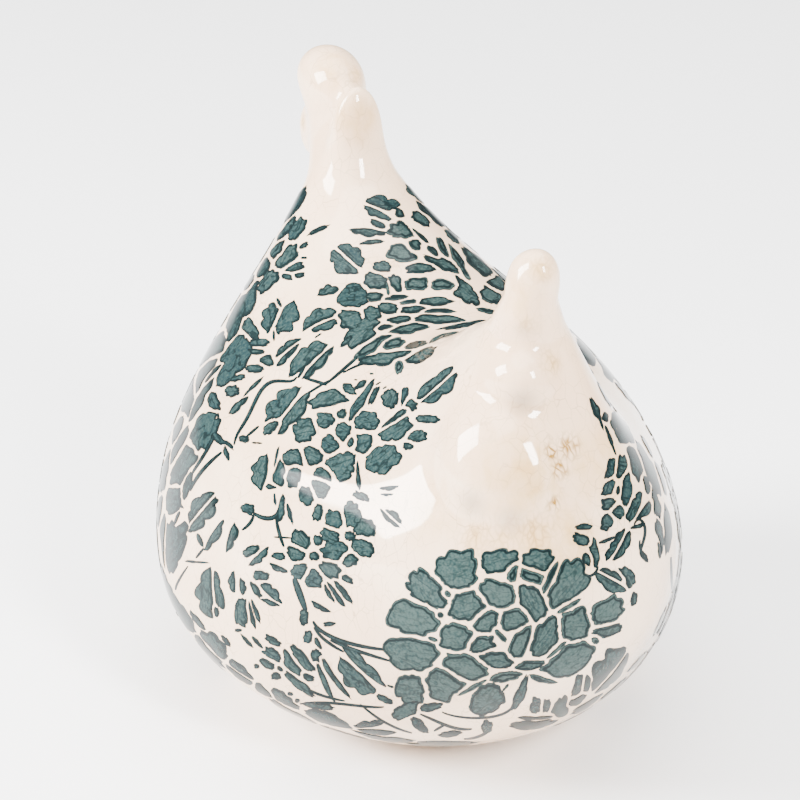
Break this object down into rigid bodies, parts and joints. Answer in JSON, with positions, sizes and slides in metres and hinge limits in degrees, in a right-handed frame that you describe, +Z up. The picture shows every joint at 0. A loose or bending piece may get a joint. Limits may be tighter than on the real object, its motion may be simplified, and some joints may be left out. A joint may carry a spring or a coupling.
{
  "type": "hen figurine",
  "caption": "Plump sitting hen figurine of glazed ceramic, hollow inside, with a lobed comb, an upright tail and a flat foot to rest on.",
  "frame": {"origin": "centre of the bounding box's bottom face, on the plane that the foot rests on", "axes": "+Z up, beak towards -Y, tail towards +Y, +X to the hen's left"},
  "size_m": [0.1666, 0.2222, 0.1959],
  "materials": {
    "glaze": "glossy clear crackle glaze over cream, with a teal floral print"
  },
  "bodies": {
    "root": {"hen": "glaze"}
  },
  "joints": []
}
